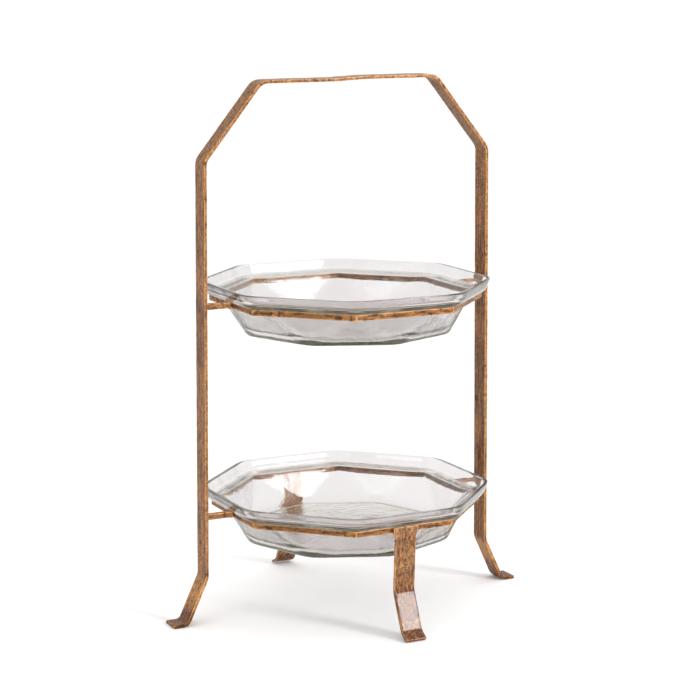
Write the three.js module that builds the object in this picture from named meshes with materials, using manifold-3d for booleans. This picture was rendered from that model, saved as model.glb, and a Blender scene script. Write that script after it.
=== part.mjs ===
// Two-tier cake stand. A hoop of flat strap iron on splayed feet carries two octagonal rings of square
// bar, joined to it by short stubs. Two short legs under the lower ring steady it front and back.
// A moulded glass bowl hangs in each ring by its rim and lifts straight out.
// Millimetres, +Z up. The origin is on the ground under the middle of the stand, +X runs towards the
// right upright and -Y towards the front leg.

import * as THREE from 'three';
import { ConvexGeometry } from 'three/addons/geometries/ConvexGeometry.js';
import { mergeVertices } from 'three/addons/utils/BufferGeometryUtils.js';
import Module from 'manifold-3d';

const wasm = await Module();
wasm.setup();

// Strap iron of the hoop and the short legs
const STRAP_WIDTH = 23.6;
const STRAP_THICKNESS = 3.7;
const STRAP_EDGE = 0.7;             // worn edge, each way

// Square bar of the rings and stubs
const BAR_SIZE = 6.5;
const BAR_EDGE = 0.9;               // worn edge, each way

// Rings, measured to the outer faces of their sides
const RING_APOTHEM = 132.7;
const LOWER_RING_TOP = 115.2;       // top face above the ground
const TIER_PITCH = 220.2;           // from the lower ring's top to the upper ring's top

// Hoop, measured on its outer faces
const HOOP_HEIGHT = 561.5;
const SPLICE_STEP = 1.5;            // the left half of the top bar sits this much lower
const TOP_BAR_HALF = 100.7;         // middle of the level top bar to its corner
const SHOULDER_DROP = 78.8;         // top bar down to the shoulders
const UPRIGHT_LEAN = 0.0078;        // outward for each millimetre down
const STUB_LENGTH = 29.2;           // clear space between the upper ring and an upright
const SHOULDER_BEND = 17;           // bend radius at the top corners and the shoulders

// Feet, measured on the strap's upper face. The slope is outward for each millimetre down from the
// ankle to the toe, the run is the toe's length seen from above, and the fall is down for each
// millimetre along that run.
const HOOP_FOOT = { ankleHeight: 50, slope: 0.465, toeRun: 14.5, toeFall: 0, toeBend: 6 };
const FRONT_FOOT = { ankleHeight: 47, slope: 0.456, toeRun: 9.6, toeFall: 0.58, toeBend: 11 };
const BACK_FOOT = { ankleHeight: 47, slope: 0.52, toeRun: 10, toeFall: 0.39, toeBend: 9 };
const ANKLE_BEND = 14;

// Short legs: outward for each millimetre up from the underside of the lower ring
const FRONT_LEG_LEAN = 0.06;
const BACK_LEG_LEAN = 0;

// Glass bowls
const RIM_OVERHANG = 11.4;          // rim beyond the ring's outer face
const RIM_RISE = 15.3;              // rim above the ring's top
const RIM_THICKNESS = 4.6;
const FLANGE_OVERHANG = 6.4;        // foot of the lip beyond the ring's outer face
const FLANGE_THICKNESS = 5;
const BASE_DROP = 38;             // underside of the base below the ring's top
const BASE_INSET = 19;            // base side inside the neck's side
const BASE_THICKNESS = 6;
const WALL_THICKNESS = 5.6;         // measured level
const NECK_CORNER = 14;             // corner radii, seen from above
const RIM_CORNER = 26;
const BASE_CORNER = 12;
const HEEL_ROUND = 3.5;
const RIM_ROUND = 1.4;

// Gaps between pieces
const WELD_GAP = 0.3;               // between pieces joined by welding
const NECK_CLEARANCE = 1.6;         // glass inside the ring's inner face
const SEAT_GAP = 0.3;               // glass above the ring's top face

const SIDES = 8;
const SIDE_ANGLE = (2 * Math.PI) / SIDES;
const HALF_SIDE_ANGLE = SIDE_ANGLE / 2;
const BEND_STEP = Math.PI / 20;     // angle between points round a bend
const CORNER_STEPS = 6;             // points round each rounded corner of the glass
const CUT_MARGIN = 2;               // how far a cut runs past the face it opens

const UPPER_RING_TOP = LOWER_RING_TOP + TIER_PITCH;

const ironFinish = { color: 0x8a6038, roughness: 0.42, metalness: 0.9 };
const strapMetal = new THREE.MeshStandardMaterial(ironFinish);
const barMetal = new THREE.MeshStandardMaterial({ ...ironFinish, color: 0xa87842, roughness: 0.38 });
const glass = new THREE.MeshStandardMaterial({
  color: 0xdfe4e1, roughness: 0.06, metalness: 0, transparent: true, opacity: 0.35,
});

// Distance from the stand's middle to an upright's outer face at a height
function uprightFace(height) {
  const atUpperRing = RING_APOTHEM + STUB_LENGTH + STRAP_THICKNESS;
  return atUpperRing + (UPPER_RING_TOP - height) * UPRIGHT_LEAN;
}

function leftNormal(direction) {
  return new THREE.Vector2(-direction.y, direction.x);
}

// Section of a bent strip. Each corner is [x, y, bend radius] on the face to the left of the path, and
// the strip's back lies one thickness to the right of it.
function bentStrip(corners, thickness) {
  const places = corners.map(([x, y]) => new THREE.Vector2(x, y));
  const runs = places.slice(1).map((place, i) => place.clone().sub(places[i]).normalize());
  const face = [];
  const back = [];
  corners.forEach(([, , radius = 0], i) => {
    const runIn = runs[Math.max(i - 1, 0)];
    const runOut = runs[Math.min(i, runs.length - 1)];
    const turn = Math.atan2(runIn.cross(runOut), runIn.dot(runOut));
    const steps = radius > 0 ? Math.ceil(Math.abs(turn) / BEND_STEP) : 0;
    const reach = Math.sign(turn) * radius;
    const setBack = radius * Math.tan(Math.abs(turn) / 2);
    const centre = places[i].clone().addScaledVector(runIn, -setBack);
    centre.addScaledVector(leftNormal(runIn), reach);
    for (let step = 0; step <= steps; step++) {
      const angle = steps > 0 ? (turn * step) / steps : 0;
      const normal = leftNormal(runIn).rotateAround(new THREE.Vector2(), angle);
      const point = centre.clone().addScaledVector(normal, -reach);
      face.push(point);
      back.push(point.clone().addScaledVector(normal, -thickness));
    }
  });
  return new THREE.Shape([...face, ...back.reverse()]);
}

// A plate of the shape, with its middle plane on the shape's own plane and its edges worn off
function wornPlate(shape, width, edge) {
  const geometry = new THREE.ExtrudeGeometry(shape, {
    depth: width - 2 * edge,
    bevelThickness: edge,
    bevelSize: edge,
    bevelOffset: -edge,
    bevelSegments: 2,
  });
  geometry.translate(0, 0, edge - width / 2);
  return geometry;
}

// A strap whose side view is given by its upper face, stood up so that the view's y becomes height
function strap(name, corners) {
  const mesh = new THREE.Mesh(wornPlate(bentStrip(corners, STRAP_THICKNESS), STRAP_WIDTH, STRAP_EDGE));
  mesh.material = strapMetal;
  mesh.name = name;
  mesh.rotation.x = Math.PI / 2;
  return mesh;
}

// Corners of a splayed foot below an ankle, on the strap's upper face. The toe's tip meets the ground.
function footCorners(ankleX, foot) {
  const tipHeight = STRAP_THICKNESS * Math.cos(Math.atan(foot.toeFall));
  const toeHeight = tipHeight + foot.toeRun * foot.toeFall;
  const toeX = ankleX + (foot.ankleHeight - toeHeight) * foot.slope;
  return [
    [ankleX, foot.ankleHeight, ANKLE_BEND],
    [toeX, toeHeight, foot.toeBend],
    [toeX + foot.toeRun, tipHeight],
  ];
}

// The hoop is two straps, bent alike, that meet in the middle of the top bar
function hoopHalf(name, topHeight, isLeft) {
  const shoulderHeight = topHeight - SHOULDER_DROP;
  const corners = [
    [WELD_GAP / 2, topHeight],
    [TOP_BAR_HALF, topHeight, SHOULDER_BEND],
    [uprightFace(shoulderHeight), shoulderHeight, SHOULDER_BEND],
    ...footCorners(uprightFace(HOOP_FOOT.ankleHeight), HOOP_FOOT),
  ];
  const mirrored = corners.map(([x, height, bend]) => [-x, height, bend]).reverse();
  return strap(name, isLeft ? mirrored : corners);
}

// A short leg stands against the outer face of the lower ring and rises to its top
function shortLeg(name, turn, lean, foot) {
  const ringUnder = LOWER_RING_TOP - BAR_SIZE;
  const faceAtRing = RING_APOTHEM + WELD_GAP + STRAP_THICKNESS;
  const ankleX = faceAtRing - (ringUnder - foot.ankleHeight) * lean;
  const group = new THREE.Group();
  group.rotation.z = turn;
  group.add(strap(name, [
    [faceAtRing + BAR_SIZE * lean, LOWER_RING_TOP],
    ...footCorners(ankleX, foot),
  ]));
  return group;
}

// Eight mitred bars. Bar 1 is on the +X side and the rest follow anticlockwise.
function ring(name, top) {
  const group = new THREE.Group();
  group.position.z = top - BAR_SIZE / 2;
  const mitre = Math.tan(HALF_SIDE_ANGLE);
  const cutBack = WELD_GAP / 2 / Math.cos(HALF_SIDE_ANGLE);
  const outerX = RING_APOTHEM;
  const innerX = RING_APOTHEM - BAR_SIZE;
  const outerHalf = outerX * mitre - cutBack;
  const innerHalf = innerX * mitre - cutBack;
  for (let side = 0; side < SIDES; side++) {
    const plan = new THREE.Shape([
      new THREE.Vector2(innerX, -innerHalf),
      new THREE.Vector2(outerX, -outerHalf),
      new THREE.Vector2(outerX, outerHalf),
      new THREE.Vector2(innerX, innerHalf),
    ]);
    const bar = new THREE.Mesh(wornPlate(plan, BAR_SIZE, BAR_EDGE), barMetal);
    bar.name = `${name}_bar_${side + 1}`;
    bar.rotation.z = side * SIDE_ANGLE;
    group.add(bar);
  }
  return group;
}

// A stub fills the space between a ring and an upright, level with the ring's top
function stub(name, top, direction) {
  const inner = RING_APOTHEM + WELD_GAP;
  const outer = uprightFace(top) - STRAP_THICKNESS - WELD_GAP;
  const plan = new THREE.Shape([
    new THREE.Vector2(inner, -BAR_SIZE / 2),
    new THREE.Vector2(outer, -BAR_SIZE / 2),
    new THREE.Vector2(outer, BAR_SIZE / 2),
    new THREE.Vector2(inner, BAR_SIZE / 2),
  ]);
  const mesh = new THREE.Mesh(wornPlate(plan, BAR_SIZE, BAR_EDGE), barMetal);
  mesh.name = name;
  mesh.position.z = top - BAR_SIZE / 2;
  mesh.rotation.z = direction;
  return mesh;
}

// Octagonal outline at a height, with round corners. The first corner is at the given turn.
function octagon(apothem, cornerRadius, height, turn) {
  const points = [];
  const cornerDistance = (apothem - cornerRadius) / Math.cos(HALF_SIDE_ANGLE);
  for (let corner = 0; corner < SIDES; corner++) {
    const middle = turn + corner * SIDE_ANGLE;
    for (let step = 0; step <= CORNER_STEPS; step++) {
      const angle = middle + (step / CORNER_STEPS - 0.5) * SIDE_ANGLE;
      points.push(new THREE.Vector3(
        cornerDistance * Math.cos(middle) + cornerRadius * Math.cos(angle),
        cornerDistance * Math.sin(middle) + cornerRadius * Math.sin(angle),
        height,
      ));
    }
  }
  return points;
}

// The solid whose skin is stretched over the outlines
function stretchedOver(...outlines) {
  const geometry = new ConvexGeometry(outlines.flat());
  geometry.deleteAttribute('normal');
  const merged = mergeVertices(geometry);
  return new wasm.Manifold(new wasm.Mesh({
    numProp: 3,
    vertProperties: merged.attributes.position.array,
    triVerts: new Uint32Array(merged.index.array),
  }));
}

function geometryOf(solid) {
  const mesh = solid.getMesh();
  const geometry = new THREE.BufferGeometry();
  geometry.setAttribute('position', new THREE.BufferAttribute(new Float32Array(mesh.vertProperties), 3));
  geometry.setIndex(new THREE.BufferAttribute(new Uint32Array(mesh.triVerts), 1));
  geometry.computeVertexNormals();
  return geometry;
}

// A bowl has an octagonal neck that fits inside the ring and an octagonal base turned by half a side,
// so its wall is a band of triangles. A flange over the ring carries an upright lip. Heights are
// measured from the glass that rests on the ring.
function bowl(name, ringTop) {
  const neck = RING_APOTHEM - BAR_SIZE - NECK_CLEARANCE;
  const base = neck - BASE_INSET;
  const flange = RING_APOTHEM + FLANGE_OVERHANG;
  const rim = RING_APOTHEM + RIM_OVERHANG;
  const rimTop = RIM_RISE - SEAT_GAP;
  const baseUnder = -BASE_DROP - SEAT_GAP;
  const baseFloor = baseUnder + BASE_THICKNESS;
  const cornerAtNeck = HALF_SIDE_ANGLE;
  const cornerAtBase = 0;

  const body = stretchedOver(
    octagon(base - HEEL_ROUND, BASE_CORNER, baseUnder, cornerAtBase),
    octagon(base - HEEL_ROUND / 3, BASE_CORNER, baseUnder + HEEL_ROUND / 3, cornerAtBase),
    octagon(base, BASE_CORNER, baseUnder + HEEL_ROUND, cornerAtBase),
    octagon(neck, NECK_CORNER, FLANGE_THICKNESS / 2, cornerAtNeck),
  );
  const lip = stretchedOver(
    octagon(flange - RIM_ROUND, RIM_CORNER, 0, cornerAtNeck),
    octagon(flange, RIM_CORNER, RIM_ROUND, cornerAtNeck),
    octagon(rim, RIM_CORNER, rimTop - RIM_ROUND, cornerAtNeck),
    octagon(rim - RIM_ROUND, RIM_CORNER, rimTop, cornerAtNeck),
  );
  const hollow = stretchedOver(
    octagon(base - WALL_THICKNESS - HEEL_ROUND / 2, BASE_CORNER, baseFloor, cornerAtBase),
    octagon(base - WALL_THICKNESS, BASE_CORNER, baseFloor + HEEL_ROUND, cornerAtBase),
    octagon(neck - WALL_THICKNESS, NECK_CORNER, FLANGE_THICKNESS + CUT_MARGIN, cornerAtNeck),
  );
  const lipSlope = (rim - flange) / (rimTop - FLANGE_THICKNESS);
  const mouth = stretchedOver(
    octagon(flange - RIM_THICKNESS, RIM_CORNER, FLANGE_THICKNESS, cornerAtNeck),
    octagon(rim - RIM_THICKNESS + lipSlope * CUT_MARGIN, RIM_CORNER, rimTop + CUT_MARGIN, cornerAtNeck),
  );
  const mesh = new THREE.Mesh(geometryOf(body.add(lip).subtract(hollow).subtract(mouth)), glass);
  mesh.name = name;
  mesh.position.z = ringTop + SEAT_GAP;
  return mesh;
}

const group = new THREE.Group();
group.add(
  hoopHalf('hoop_left_half', HOOP_HEIGHT - SPLICE_STEP, true),
  hoopHalf('hoop_right_half', HOOP_HEIGHT, false),
  ring('lower_ring', LOWER_RING_TOP),
  ring('upper_ring', UPPER_RING_TOP),
  stub('lower_right_stub', LOWER_RING_TOP, 0),
  stub('lower_left_stub', LOWER_RING_TOP, Math.PI),
  stub('upper_right_stub', UPPER_RING_TOP, 0),
  stub('upper_left_stub', UPPER_RING_TOP, Math.PI),
  shortLeg('front_leg', -Math.PI / 2, FRONT_LEG_LEAN, FRONT_FOOT),
  shortLeg('back_leg', Math.PI / 2, BACK_LEG_LEAN, BACK_FOOT),
  bowl('lower_bowl', LOWER_RING_TOP),
  bowl('upper_bowl', UPPER_RING_TOP),
);

export default group;
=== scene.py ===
import math

import bmesh
import bpy
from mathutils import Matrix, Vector


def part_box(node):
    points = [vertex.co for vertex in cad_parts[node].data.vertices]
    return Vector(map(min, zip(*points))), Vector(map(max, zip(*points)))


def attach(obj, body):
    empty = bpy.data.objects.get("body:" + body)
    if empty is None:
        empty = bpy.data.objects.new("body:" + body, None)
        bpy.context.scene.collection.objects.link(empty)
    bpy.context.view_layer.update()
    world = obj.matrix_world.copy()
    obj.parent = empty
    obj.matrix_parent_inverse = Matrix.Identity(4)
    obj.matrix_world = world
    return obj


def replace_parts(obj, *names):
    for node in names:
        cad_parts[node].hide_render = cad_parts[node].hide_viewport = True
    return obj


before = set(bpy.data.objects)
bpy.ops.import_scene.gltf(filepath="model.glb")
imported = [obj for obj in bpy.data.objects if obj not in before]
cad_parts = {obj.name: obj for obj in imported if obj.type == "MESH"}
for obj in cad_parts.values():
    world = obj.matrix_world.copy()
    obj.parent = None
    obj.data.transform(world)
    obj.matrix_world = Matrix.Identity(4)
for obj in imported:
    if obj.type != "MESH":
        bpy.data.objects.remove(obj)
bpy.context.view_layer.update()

# ----------------------------------------------------------------------------------------------
# The hoop. Two straps of flat iron are bent to one pattern, foot, upright, shoulder and top bar,
# and are butt-welded in the middle of the top bar, the left one a little lower than the right.
# The finish is a brown patina rubbed back to gold on the edges, under a thin clear lacquer.

STRAP_WIDTH = 0.0236
STRAP_THICKNESS = 0.0037
STRAP_EDGE = 0.0008            # round worn on the long edges
STRAP_CUTS = (-0.4, -0.2, 0, 0.2, 0.4)     # lengthwise scores, as shares of the width
ROUND_SEGMENTS = 3
HAMMER_STEP = 0.006            # spacing of the hammered sections along a strap or bar
HAMMER_DEPTH = 0.0004
HOOP_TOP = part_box("hoop_right_half")[1].z
LEFT_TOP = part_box("hoop_left_half")[1].z
TOP_CORNER = 0.1007            # from the middle of the top bar out to its bend
SHOULDER_DROP = 0.0788         # from the top bar down to the bend above the upright
HOOP_BEND = 0.017
UPPER_RING_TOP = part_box("upper_ring_bar_1")[1].z
UPRIGHT_AT_RING = 0.1656       # outer face of an upright at the upper ring's top
UPRIGHT_LEAN = 0.0078          # how far an upright runs out for each metre down
HOOP_ANKLE = 0.050             # height at which an upright turns out into its foot
ANKLE_BEND = 0.014
SPLICE_RUN = 0.016             # length each side over which the splice was dressed level
SPLICE_CUTS = (0.15, 0.3, 0.5, 0.7, 0.85)
SPLICE_SWELL = 0.03            # how much wider the dressed ends are than the strap


def select_only(piece):
    for thing in bpy.context.selected_objects:
        thing.select_set(False)
    piece.select_set(True)
    bpy.context.view_layer.objects.active = piece


def settle(piece):
    """Puts a piece's turn and place into its mesh."""
    select_only(piece)
    bpy.ops.object.transform_apply(location=True, rotation=True, scale=True)


def apply_modifier(piece, kind, **settings):
    select_only(piece)
    modifier = piece.modifiers.new(kind.title(), kind)
    for setting, value in settings.items():
        setattr(modifier, setting, value)
    bpy.ops.object.modifier_apply(modifier=modifier.name)


def slice_across(piece, places, direction):
    """Scores a piece with flat cuts at these places along a direction, and keeps both sides."""
    select_only(piece)
    bpy.ops.object.mode_set(mode="EDIT")
    for place in places:
        bpy.ops.mesh.select_all(action="SELECT")
        bpy.ops.mesh.bisect(plane_co=Vector(direction) * place, plane_no=direction)
    bpy.ops.object.mode_set(mode="OBJECT")


EDGE_GAIN = 4.0                # faces 41 degrees apart or more count as a full edge


def mark_rubbed(piece):
    """Stores how much of an edge each vertex lies on, as the attribute that the patina reads."""
    shape = bmesh.new()
    shape.from_mesh(piece.data)
    shape.normal_update()
    rubbed = []
    for vertex in shape.verts:
        normals = [face.normal for face in vertex.link_faces]
        widest = min(a.dot(b) for a in normals for b in normals)
        rubbed.append(min(1.0, (1.0 - widest) * EDGE_GAIN))
    shape.free()
    attribute = piece.data.attributes.new("rubbed", "FLOAT", "POINT")
    attribute.data.foreach_set("value", rubbed)


hammering = bpy.data.textures.new("hammering", "CLOUDS")
hammering.noise_scale = 0.016
hammering.noise_depth = 2


def hammer(piece, depth):
    """Gives a piece the soft unevenness of hand-worked iron. It only takes material off."""
    apply_modifier(piece, "DISPLACE", texture=hammering, texture_coords="LOCAL",
                   strength=depth, mid_level=1.0)
    bpy.ops.object.shade_smooth_by_angle(angle=math.radians(40))


BEND_STEP = math.radians(6)    # each bend is spun in steps of about this much
BEND_STEPS_LEAST = 3
SAME_PLACE = 0.00001


def bend_strap(name, corners):
    """A strap whose upper face follows the corners, each (reach, height, bend radius)."""
    places = [Vector((reach, 0, height)) for reach, height, _ in corners]
    runs = [(end - start).normalized() for start, end in zip(places, places[1:])]
    first = runs[0]
    middle = places[0] + Vector((first.z, 0, -first.x)) * STRAP_THICKNESS / 2
    bpy.ops.mesh.primitive_plane_add(
        size=1, location=middle, rotation=(0, math.atan2(first.x, first.z), 0))
    piece = bpy.context.object
    piece.name = name
    piece.scale = (STRAP_THICKNESS, STRAP_WIDTH, 1)
    settle(piece)
    bpy.ops.object.mode_set(mode="EDIT")
    bpy.ops.mesh.select_all(action="SELECT")
    at = places[0]
    for index, run in enumerate(runs):
        bend = corners[index + 1][2]
        following = runs[index + 1] if index + 1 < len(runs) else run
        turn = math.atan2(run.x * following.z - run.z * following.x, run.dot(following))
        set_back = bend * math.tan(abs(turn) / 2)
        straight = (places[index + 1] - at).dot(run) - set_back
        steps = max(1, round(straight / HAMMER_STEP))
        for _ in range(steps):
            bpy.ops.mesh.extrude_region_move(
                TRANSFORM_OT_translate={"value": run * straight / steps})
        at = at + run * straight
        if turn:
            side = math.copysign(1, turn)
            centre = at + Vector((-run.z, 0, run.x)) * side * bend
            bpy.ops.mesh.spin(steps=max(BEND_STEPS_LEAST, round(abs(turn) / BEND_STEP)),
                              angle=abs(turn), center=centre, axis=(0, side, 0))
            at = places[index + 1] + following * set_back
    bpy.ops.mesh.select_all(action="SELECT")
    bpy.ops.mesh.remove_doubles(threshold=SAME_PLACE)
    bpy.ops.mesh.normals_make_consistent(inside=False)
    bpy.ops.object.mode_set(mode="OBJECT")
    apply_modifier(piece, "BEVEL", width=STRAP_EDGE, segments=ROUND_SEGMENTS,
                   limit_method="ANGLE", angle_limit=math.radians(50))
    slice_across(piece, [STRAP_WIDTH * share for share in STRAP_CUTS], (0, 1, 0))
    mark_rubbed(piece)
    return piece


def upright_face(height):
    return UPRIGHT_AT_RING + (UPPER_RING_TOP - height) * UPRIGHT_LEAN


def foot(ankle_reach, ankle_height, slope, toe_run, toe_fall, toe_bend):
    """Corners of a splayed foot, whose toe's tip meets the ground. The foot runs out by slope
    for each metre down, and the toe falls by toe_fall for each metre out."""
    tip_height = STRAP_THICKNESS * math.cos(math.atan(toe_fall))
    toe_height = tip_height + toe_run * toe_fall
    toe_reach = ankle_reach + (ankle_height - toe_height) * slope
    return [(ankle_reach, ankle_height, ANKLE_BEND),
            (toe_reach, toe_height, toe_bend),
            (toe_reach + toe_run, tip_height, 0)]


class Value:
    """A socket of a finish, so that shader maths reads as plain arithmetic."""

    def __init__(self, finish, socket):
        self.finish, self.socket = finish, socket

    def math(self, operation, first, second):
        return self.finish.node("ShaderNodeMath", {"operation": operation},
                                {0: first, 1: second})

    def __add__(self, other):
        return self.math("ADD", self, other)

    __radd__ = __add__

    def __sub__(self, other):
        return self.math("SUBTRACT", self, other)

    def __rsub__(self, other):
        return self.math("SUBTRACT", other, self)

    def __mul__(self, other):
        return self.math("MULTIPLY", self, other)

    __rmul__ = __mul__


class Finish:
    """A material being made."""

    def __init__(self, name):
        self.material = bpy.data.materials.new(name)
        self.material.use_nodes = True
        self.tree = self.material.node_tree
        self.tree.nodes.clear()
        self.output = self.tree.nodes.new("ShaderNodeOutputMaterial")
        self.place = self.node("ShaderNodeTexCoord", output="Object")

    def node(self, kind, settings=None, sockets=None, output=0):
        """Adds a node: its settings first, then the values or links of its sockets."""
        made = self.tree.nodes.new(kind)
        for setting, value in (settings or {}).items():
            setattr(made, setting, value)
        for socket, value in (sockets or {}).items():
            if isinstance(value, Value):
                self.tree.links.new(value.socket, made.inputs[socket])
            else:
                made.inputs[socket].default_value = value
        return Value(self, made.outputs[output])

    def noise(self, scale, detail=3.0, roughness=0.55, stretch=None):
        vector = self.place
        if stretch:
            vector = self.node("ShaderNodeMapping", {}, {"Vector": vector, "Scale": stretch})
        return self.node("ShaderNodeTexNoise", {}, {
            "Vector": vector, "Scale": scale, "Detail": detail, "Roughness": roughness}, "Fac")

    def between(self, value, low, high):
        """0 below low, 1 above high, and a smooth step from one to the other."""
        return self.node("ShaderNodeMapRange", {"interpolation_type": "SMOOTHSTEP"},
                         {"Value": value, "From Min": low, "From Max": high})

    def mix(self, share, first, second):
        """A colour between two others, each a Value or (red, green, blue)."""
        first = first if isinstance(first, Value) else (*first, 1)
        second = second if isinstance(second, Value) else (*second, 1)
        return self.node("ShaderNodeMix", {"data_type": "RGBA"},
                         {0: share, 6: first, 7: second}, 2)

    def surface(self, shader):
        self.tree.links.new(shader.socket, self.output.inputs["Surface"])
        return self.material

    def fill(self, shader):
        self.tree.links.new(shader.socket, self.output.inputs["Volume"])


DARK_BROWN = (0.048, 0.016, 0.006)
RED_BROWN = (0.315, 0.116, 0.038)
RUBBED_GOLD = (0.82, 0.42, 0.155)
SPECK_BLACK = (0.040, 0.018, 0.010)
BLOTCH_BLACK = (0.030, 0.017, 0.012)
LACQUER_GLINT = (0.85, 0.58, 0.36, 1)
TOE_FADE = (0.006, 0.020)      # heights between which a toe passes into the splay of its foot
SPLAY_START = (0.015, 0.030)   # heights between which the finish of the splay sets in
SPLAY_END = (0.042, 0.052)     # and between which it ends below the ankle


def rubbed_bronze(name, gold_share, lacquer, drawn, splay_gold=0.0, dirt=0.0):
    """Brown patina rubbed back to gold. gold_share is how far the faces were rubbed, splay_gold
    how much more gold the splay of a foot is made by its height alone (browner where it is
    negative), drawn how the streaks are stretched, and dirt adds to the dark blotches."""
    finish = Finish(name)
    edge = finish.node("ShaderNodeAttribute", {"attribute_name": "rubbed"}, {}, "Fac")
    height = finish.node("ShaderNodeSeparateXYZ", {}, {"Vector": finish.place}, "Z")
    toe = 1 - finish.between(height, *TOE_FADE)
    splay = finish.between(height, *SPLAY_START) * (1 - finish.between(height, *SPLAY_END))
    patches = finish.noise(40, 4, 0.6)
    mottle = finish.noise(280, 4, 0.65)
    streaks = finish.noise(420, 3, 0.6, stretch=drawn)
    grain = finish.noise(1150, 2, 0.5)
    specks = finish.between(grain * 0.8 + patches * 0.2, 0.5, 0.585)
    blotches = finish.between(finish.noise(105, 5, 0.75) + dirt, 0.58, 0.64)
    brown = finish.mix(finish.between(streaks, 0.34, 0.66), DARK_BROWN, RED_BROWN)
    gold_level = patches * 0.35 + mottle * 0.5 + streaks * 0.2 + edge * 0.55 + gold_share
    # by height alone: the splay of a foot is made more gold (browner for a negative splay_gold)
    # and the toes a little browner
    gold_level = gold_level + splay * splay_gold - toe * 0.2
    gold = finish.between(gold_level, 0.48, 0.98)
    colour = finish.mix(gold, brown, RUBBED_GOLD)
    colour = finish.mix(specks * (0.82 - edge * 0.45), colour, SPECK_BLACK)
    colour = finish.mix(blotches * 0.8, colour, BLOTCH_BLACK)
    dents = mottle * 0.6 - specks * 0.4 - blotches * 0.4
    normal = finish.node("ShaderNodeBump", {}, {
        "Strength": 0.45, "Distance": 0.0006, "Height": dents}, "Normal")
    return finish.surface(finish.node("ShaderNodeBsdfPrincipled", {}, {
        "Base Color": colour,
        "Metallic": (0.06 + gold * 0.56) * (1 - blotches * 0.5),
        "Roughness": 0.38 + mottle * 0.2 + specks * 0.1,
        "Specular IOR Level": 0.08,
        "Specular Tint": LACQUER_GLINT,
        "Normal": normal,
        "Coat Weight": lacquer - blotches * 0.2,
        "Coat Roughness": 0.13,
    }, "BSDF"))


def finish_metal(piece, material):
    piece.data.materials.append(material)
    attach(piece, "frame")


strap_finish = rubbed_bronze("rubbed bronze strap", gold_share=0.07, lacquer=0.26,
                             drawn=(1, 1, 0.08), splay_gold=0.12)


def dress_splice(piece, top):
    """Draws the end at the splice level with the other half's, and spreads it a little."""
    for vertex in piece.data.vertices:
        on_top_bar = vertex.co.z > top - SHOULDER_DROP
        near = max(0.0, 1 - abs(vertex.co.x) / SPLICE_RUN) * on_top_bar
        vertex.co.z += ((LEFT_TOP + HOOP_TOP) / 2 - top) * near ** 2 * (3 - 2 * near)
        vertex.co.y *= 1 + SPLICE_SWELL * near ** 2


def hoop_half(name, top, side):
    """Half of the hoop, from the middle of the top bar down to the toe."""
    shoulder = top - SHOULDER_DROP
    corners = [(0, top, 0), (TOP_CORNER, top, HOOP_BEND),
               (upright_face(shoulder), shoulder, HOOP_BEND)]
    corners += foot(upright_face(HOOP_ANKLE), HOOP_ANKLE,
                    slope=0.465, toe_run=0.0145, toe_fall=0, toe_bend=0.006)
    if side < 0:
        corners = [(-reach, height, bend) for reach, height, bend in reversed(corners)]
    piece = bend_strap(name, corners)
    slice_across(piece, [side * SPLICE_RUN * share for share in SPLICE_CUTS], (1, 0, 0))
    dress_splice(piece, top)
    hammer(piece, HAMMER_DEPTH)
    finish_metal(piece, strap_finish)
    return piece


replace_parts(hoop_half("hoop_left", LEFT_TOP, -1), "hoop_left_half")
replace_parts(hoop_half("hoop_right", HOOP_TOP, 1), "hoop_right_half")

# ----------------------------------------------------------------------------------------------
# The rings. Each is eight lengths of square bar, mitred and welded into an octagon that the bowl
# hangs in. The arrises are worn round and the mitres show as fine grooves.

BAR_SIZE = 0.0065
BAR_EDGE = 0.0009
BAR_CUT = 0.2                  # lengthwise scores lie this share of the bar from its middle
BAR_HAMMER_DEPTH = HAMMER_DEPTH * 0.7
RING_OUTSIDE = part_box("upper_ring_bar_1")[1].x
LOWER_RING_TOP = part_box("lower_ring_bar_1")[1].z
HALF_SIDE = math.radians(22.5)
MITRE_OVERLAP = 0.0003         # so that the hammered ends still meet

bar_finish = rubbed_bronze("rubbed bronze bar", gold_share=0.09, lacquer=0.3,
                           drawn=(0.2, 0.2, 1), dirt=0.035)


def mitred_bar(top):
    """The bar on the right-hand side of a ring."""
    bpy.ops.mesh.primitive_cube_add(
        size=1, location=(RING_OUTSIDE - BAR_SIZE / 2, 0, top - BAR_SIZE / 2),
        scale=(BAR_SIZE, RING_OUTSIDE, BAR_SIZE))
    piece = bpy.context.object
    settle(piece)
    bpy.ops.object.mode_set(mode="EDIT")
    for side in (-1, 1):
        bpy.ops.mesh.select_all(action="SELECT")
        mitre = Vector((-math.sin(HALF_SIDE), side * math.cos(HALF_SIDE), 0))
        bpy.ops.mesh.bisect(plane_co=mitre * MITRE_OVERLAP / 2, plane_no=mitre,
                            use_fill=True, clear_outer=True)
    bpy.ops.object.mode_set(mode="OBJECT")
    apply_modifier(piece, "BEVEL", width=BAR_EDGE, segments=ROUND_SEGMENTS,
                   limit_method="ANGLE", angle_limit=math.radians(40))
    half_length = RING_OUTSIDE * math.tan(HALF_SIDE)
    count = round(2 * half_length / HAMMER_STEP)
    slice_across(piece, [half_length * (2 * step / count - 1) for step in range(1, count)],
                 (0, 1, 0))
    for side in (-1, 1):
        off_middle = side * BAR_SIZE * BAR_CUT - BAR_SIZE / 2
        slice_across(piece, [RING_OUTSIDE + off_middle], (1, 0, 0))
        slice_across(piece, [top + off_middle], (0, 0, 1))
    mark_rubbed(piece)
    return piece


def ring(tier, top):
    model = mitred_bar(top)
    for number in range(1, 9):
        bar = model.copy()
        bar.data = model.data.copy()
        bar.name = f"{tier}_ring_side_{number}"
        bpy.context.collection.objects.link(bar)
        bar.rotation_euler.z = (number - 1) * 2 * HALF_SIDE
        settle(bar)
        hammer(bar, BAR_HAMMER_DEPTH)
        finish_metal(bar, bar_finish)
        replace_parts(bar, f"{tier}_ring_bar_{number}")
    bpy.data.objects.remove(model)


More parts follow.
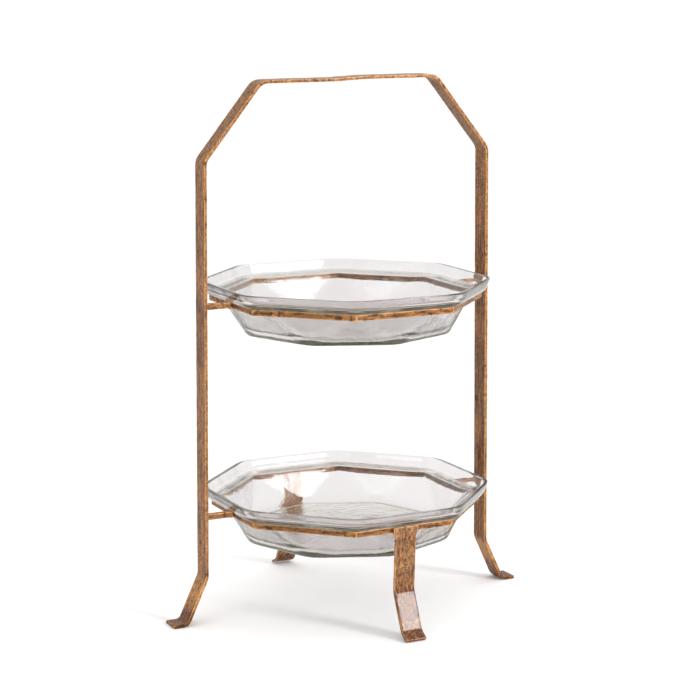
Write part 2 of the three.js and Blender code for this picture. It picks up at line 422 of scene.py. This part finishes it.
ring("lower", LOWER_RING_TOP)
ring("upper", UPPER_RING_TOP)

# ----------------------------------------------------------------------------------------------
# The stubs. Short pieces of the same square bar join each ring to the uprights, flush with the
# ring's top. Each end swells a little where the weld was dressed down.

WELD_SWELL = 0.22              # how much thicker a stub is at its ends
WELD_START = 0.78              # where the swelling sets in, as a share of the way to an end
STUB_CUTS = (-0.46, -0.42, -0.36, -0.25, -0.12, 0, 0.12, 0.25, 0.36, 0.42, 0.46)
STUB_HAMMER_DEPTH = HAMMER_DEPTH * 0.8


def stub(tier, hand):
    low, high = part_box(f"{tier}_{hand}_stub")
    middle = (low + high) / 2
    length = high.x - low.x
    bpy.ops.mesh.primitive_cube_add(size=1, location=middle, scale=(length, BAR_SIZE, BAR_SIZE))
    piece = bpy.context.object
    piece.name = f"{tier}_{hand}_arm"
    settle(piece)
    apply_modifier(piece, "BEVEL", width=BAR_EDGE, segments=ROUND_SEGMENTS)
    slice_across(piece, [middle.x + length * share for share in STUB_CUTS], (1, 0, 0))
    for vertex in piece.data.vertices:
        reach = abs(vertex.co.x - middle.x) / (length / 2)
        weld = max(0.0, (reach - WELD_START) / (1 - WELD_START))
        swell = 1 + WELD_SWELL * weld ** 1.5
        vertex.co.y *= swell
        if vertex.co.z < middle.z:
            vertex.co.z = high.z + (vertex.co.z - high.z) * swell
    mark_rubbed(piece)
    hammer(piece, STUB_HAMMER_DEPTH)
    finish_metal(piece, bar_finish)
    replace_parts(piece, f"{tier}_{hand}_stub")


for tier in ("lower", "upper"):
    for hand in ("left", "right"):
        stub(tier, hand)

# ----------------------------------------------------------------------------------------------
# The short legs. Two straps like the hoop's stand against the lower ring, front and back, welded
# to it up to its top, and splay into down-turned toes that keep the stand from rocking.

WELD_GAP = 0.0003              # left between neighbouring solids of the frame
LEG_FACE = RING_OUTSIDE + WELD_GAP + STRAP_THICKNESS
LEG_ANKLE = 0.047
WELD_FILLET = 0.005
WELD_SPREAD = 0.0022           # how far the weld reaches past each side of the strap
FILLET_CUTS = (0, 0.2, 0.4, 0.6, 0.8, 1)

leg_finish = rubbed_bronze("rubbed bronze leg", gold_share=0.1, lacquer=0.62,
                           drawn=(1, 1, 0.3), splay_gold=-0.42)


def flare_at_ring(piece):
    """Spreads the strap into the weld fillets under the ring."""
    under = LOWER_RING_TOP - BAR_SIZE
    slice_across(piece, [under - WELD_FILLET * share for share in FILLET_CUTS], (0, 0, 1))
    for vertex in piece.data.vertices:
        rise = min(1.0, max(0.0, 1 + (vertex.co.z - under) / WELD_FILLET))
        vertex.co.y *= 1 + rise ** 2.5 * WELD_SPREAD * 2 / STRAP_WIDTH


def short_leg(name, turn, lean, **splay):
    """A leg on the side of the stand given by turn. Its shin runs in by lean for each metre
    down, and splay says how its foot turns out."""
    ankle_reach = LEG_FACE - (LOWER_RING_TOP - BAR_SIZE - LEG_ANKLE) * lean
    corners = [(LEG_FACE + BAR_SIZE * lean, LOWER_RING_TOP, 0)]
    piece = bend_strap(name, corners + foot(ankle_reach, LEG_ANKLE, **splay))
    flare_at_ring(piece)
    piece.rotation_euler.z = turn
    settle(piece)
    hammer(piece, HAMMER_DEPTH)
    finish_metal(piece, leg_finish)
    return piece


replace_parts(short_leg("front_foot", -math.pi / 2, lean=0.06,
                      slope=0.456, toe_run=0.0096, toe_fall=0.58, toe_bend=0.011), "front_leg")
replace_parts(short_leg("back_foot", math.pi / 2, lean=0.0,
                      slope=0.52, toe_run=0.010, toe_fall=0.39, toe_bend=0.009), "back_leg")

# ----------------------------------------------------------------------------------------------
# The bowls. Thick pressed glass: an octagonal base set half a side round from the octagonal rim,
# so the wall is a band of flat triangles, then a flange that sits on the ring and a low lip. The
# mould left the surfaces softly rippled. They lie loose in the rings.

SEAT_GAP = 0.0003              # between a ring's top and the bowl's flange
NECK = RING_OUTSIDE - BAR_SIZE - 0.0016    # clear of the inside of the ring
BASE = NECK - 0.019
FLANGE = RING_OUTSIDE + 0.0064
BASE_THICKNESS = 0.006
FLANGE_THICKNESS = 0.005
RIM_THICKNESS = 0.0044
WALL_STEP_IN = 0.003           # how much nearer the middle the inside is, at neck and heel
LIP_STEP_IN = 0.0035           # and at the outer edge of the flange
RIM_ROUND = 0.0021
HEEL_ROUND = 0.0045
HEEL_ROUND_INSIDE = HEEL_ROUND * 2.4
NECK_ROUND = 0.003
NECK_ROUND_INSIDE = 0.009
FLANGE_ROUND = 0.007
FLANGE_ROUND_INSIDE = 0.006
FLOOR_MIDDLE = 0.004           # size of the small flat that closes each floor
BLUNTNESS = 0.985              # how far in the cut across a corner lies
CORNER_SHARPNESS = 70          # a higher power gives sharper corners in plan
ROUND_STEPS = 6
RIPPLE_STEP = 0.004
RIPPLE_DEPTH = 0.00035
AROUND = 288                   # points round a bowl
WALL_TOP = 0.004               # the wall's ripples end this far above the seat
WALL_FADE = 0.006

rippling = bpy.data.textures.new("rippling", "CLOUDS")
rippling.noise_scale = 0.022
rippling.noise_depth = 2


def clear_glass():
    """Glass whose wall is more rippled than its lip. Its grey base colour is painted shade: it
    dims everything seen through the glass, standing in for the greyer studio behind the bowls.
    Lamps shine through it nearly undimmed.
    """
    finish = Finish("rippled clear glass")
    wall = finish.node("ShaderNodeAttribute", {"attribute_name": "wall"}, {}, "Fac")
    ripples = finish.noise(95, 2, 0.5)
    fine = finish.noise(240, 3, 0.6)
    height = (ripples * 0.35 + fine * 0.42) * (0.2 + wall * 0.8)
    normal = finish.node("ShaderNodeBump", {}, {
        "Strength": 0.6, "Distance": 0.0012, "Height": height}, "Normal")
    glass = finish.node("ShaderNodeBsdfPrincipled", {}, {
        # painted shade: this grey dims what is seen through the glass, in place of the greyer
        # studio behind the bowls
        "Base Color": (0.805, 0.780, 0.790, 1),
        "Roughness": 0.015 + fine * 0.03,
        "IOR": 1.5,
        "Transmission Weight": 1.0,
        "Normal": normal,
    }, "BSDF")
    lamp_light = finish.node("ShaderNodeBsdfTransparent", {}, {"Color": (0.98, 0.98, 0.98, 1)})
    seen_by = finish.node("ShaderNodeLightPath", output="Is Shadow Ray")
    finish.fill(finish.node("ShaderNodeVolumeAbsorption", {}, {
        "Color": (0.70, 0.70, 0.62, 1), "Density": 30.0}))
    return finish.surface(finish.node("ShaderNodeMixShader", {}, {
        0: seen_by, 1: glass, 2: lamp_light}))


glass_finish = clear_glass()


def soft_reach(angle, aligned, turned):
    """Distance out to a shape of sixteen sides. Eight face along and across the stand, aligned
    metres out, and eight are turned half a side from them. The corners are softly rounded."""
    total = 0.0
    for number in range(16):
        facing = math.cos(angle - number * HALF_SIDE)
        if facing > 0:
            total += (facing / (turned if number % 2 else aligned)) ** CORNER_SHARPNESS
    return total ** (-1 / CORNER_SHARPNESS)


def rounded_path(corners):
    """Follows the corners, each (aligned, turned, height, cut), with a curve across each cut."""
    points = [Vector(corner[:3]) for corner in corners]
    path = [points[0]]
    for before, corner, after, (*_, cut) in zip(points, points[1:], points[2:], corners[1:]):
        start = corner + (before - corner).normalized() * cut
        end = corner + (after - corner).normalized() * cut
        for step in range(ROUND_STEPS + 1):
            share = step / ROUND_STEPS
            path.append(start.lerp(corner, share).lerp(corner.lerp(end, share), share))
    path.append(points[-1])
    stations = [path[0]]
    for start, end in zip(path, path[1:]):
        steps = max(1, round((end - start).length / RIPPLE_STEP))
        stations += [start.lerp(end, (step + 1) / steps) for step in range(steps)]
    return stations


def bowl_shell(name, stations):
    """One closed skin, from the middle of the underside out over the rim to the middle inside.
    It is laid out point by point, because bevels run wild where two creases meet at a corner of
    the neck."""
    points = []
    for aligned, turned, height in stations:
        for step in range(AROUND):
            angle = 2 * math.pi * step / AROUND
            reach = soft_reach(angle, aligned, turned)
            points.append((reach * math.cos(angle), reach * math.sin(angle), height))
    faces = [tuple(range(AROUND - 1, -1, -1))]
    for row in range(len(stations) - 1):
        for step in range(AROUND):
            first, second = row * AROUND + step, row * AROUND + (step + 1) % AROUND
            faces.append((first, second, second + AROUND, first + AROUND))
    faces.append(tuple(range((len(stations) - 1) * AROUND, len(stations) * AROUND)))
    mesh = bpy.data.meshes.new(name)
    mesh.from_pydata(points, [], faces)
    piece = bpy.data.objects.new(name, mesh)
    bpy.context.collection.objects.link(piece)
    return piece


def mark_wall(piece, seat):
    """Stores where the glass lies below the ring, as the attribute that the ripples read."""
    attribute = piece.data.attributes.new("wall", "FLOAT", "POINT")
    attribute.data.foreach_set("value", [
        min(1.0, max(0.0, (seat + WALL_TOP - vertex.co.z) / WALL_FADE))
        for vertex in piece.data.vertices])


def glass_bowl(tier, ring_top):
    low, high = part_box(f"{tier}_bowl")
    seat = ring_top + SEAT_GAP
    floor_inside = low.z + BASE_THICKNESS
    flange_top = seat + FLANGE_THICKNESS
    rim_inside = high.x - RIM_THICKNESS
    flange_inside = FLANGE - LIP_STEP_IN
    neck_inside = NECK - WALL_STEP_IN
    base_inside = BASE - WALL_STEP_IN
    point = 1 / math.cos(HALF_SIDE)            # from an octagon's side to its corner
    blunt = point * BLUNTNESS
    outside = [(FLOOR_MIDDLE * blunt, FLOOR_MIDDLE, low.z, 0),
               (BASE * blunt, BASE, low.z, HEEL_ROUND),
               (NECK, NECK * point, seat, NECK_ROUND),
               (FLANGE, FLANGE * blunt, seat, FLANGE_ROUND),
               (high.x, high.x * blunt, high.z, RIM_ROUND)]
    inside = [(rim_inside, rim_inside * blunt, high.z, RIM_ROUND),
              (flange_inside, flange_inside * blunt, flange_top, FLANGE_ROUND_INSIDE),
              (neck_inside, neck_inside * point, flange_top, NECK_ROUND_INSIDE),
              (base_inside * blunt, base_inside, floor_inside, HEEL_ROUND_INSIDE),
              (FLOOR_MIDDLE * blunt, FLOOR_MIDDLE, floor_inside, 0)]
    piece = bowl_shell(f"{tier}_glass_bowl", rounded_path(outside + inside))
    apply_modifier(piece, "DISPLACE", texture=rippling, texture_coords="LOCAL",
                   strength=RIPPLE_DEPTH, mid_level=1.0)
    bpy.ops.object.shade_smooth()
    mark_wall(piece, seat)
    piece.data.materials.append(glass_finish)
    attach(piece, f"{tier}_bowl")
    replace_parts(piece, f"{tier}_bowl")


glass_bowl("lower", LOWER_RING_TOP)
glass_bowl("upper", UPPER_RING_TOP)

# ----------------------------------------------------------------------------------------------
# The studio. A plain pale floor, even light from all round, a soft key from above the front
# right with a weak one opposite, and the camera.

bpy.ops.mesh.primitive_plane_add(size=600, location=(0, 0, 0))
floor = bpy.context.object
floor.name = "studio_floor"
paper = Finish("pale paper")
paper_tone = paper.mix(paper.noise(3, 2), (0.95, 0.95, 0.95), (0.97, 0.97, 0.97))
floor.data.materials.append(paper.surface(paper.node("ShaderNodeBsdfPrincipled", {}, {
    "Base Color": paper_tone, "Roughness": 0.9, "Specular IOR Level": 0.1}, "BSDF")))

world = bpy.data.worlds.new("studio")
world.use_nodes = True
world.node_tree.nodes["Background"].inputs["Color"].default_value = (1, 1, 1, 1)
world.node_tree.nodes["Background"].inputs["Strength"].default_value = 1.09
bpy.context.scene.world = world

STAND_MIDDLE = Vector((0, 0, 0.25))


def softbox(name, place, width, height, power):
    """A soft light that faces the stand."""
    lamp = bpy.data.objects.new(name, bpy.data.lights.new(name, "AREA"))
    lamp.data.shape = "RECTANGLE"
    lamp.data.size = width
    lamp.data.size_y = height
    lamp.data.energy = power
    lamp.location = place
    lamp.rotation_euler = (STAND_MIDDLE - lamp.location).to_track_quat("-Z", "Y").to_euler()
    bpy.context.collection.objects.link(lamp)


softbox("right_softbox", (0.95, -1.62, 1.00), width=0.38, height=0.85, power=19)
softbox("left_softbox", (-1.9, -0.9, 1.3), width=0.6, height=0.6, power=2)

camera = bpy.data.objects.new("camera", bpy.data.cameras.new("camera"))
camera.data.lens = 110.02
camera.data.sensor_width = 36
camera.data.clip_end = 600
camera.location = (-0.99198, -1.98226, 0.68691)
aim = Vector((0.00380, -0.00189, 0.27411))
camera.rotation_euler = (aim - camera.location).to_track_quat("-Z", "Y").to_euler()
bpy.context.collection.objects.link(camera)
bpy.context.scene.camera = camera
bpy.context.scene.view_settings.view_transform = "Standard"

BOUNCES = 24                   # enough to pass through every wall of both bowls
bpy.context.scene.cycles.max_bounces = BOUNCES
bpy.context.scene.cycles.transmission_bounces = BOUNCES
bpy.context.scene.cycles.glossy_bounces = BOUNCES
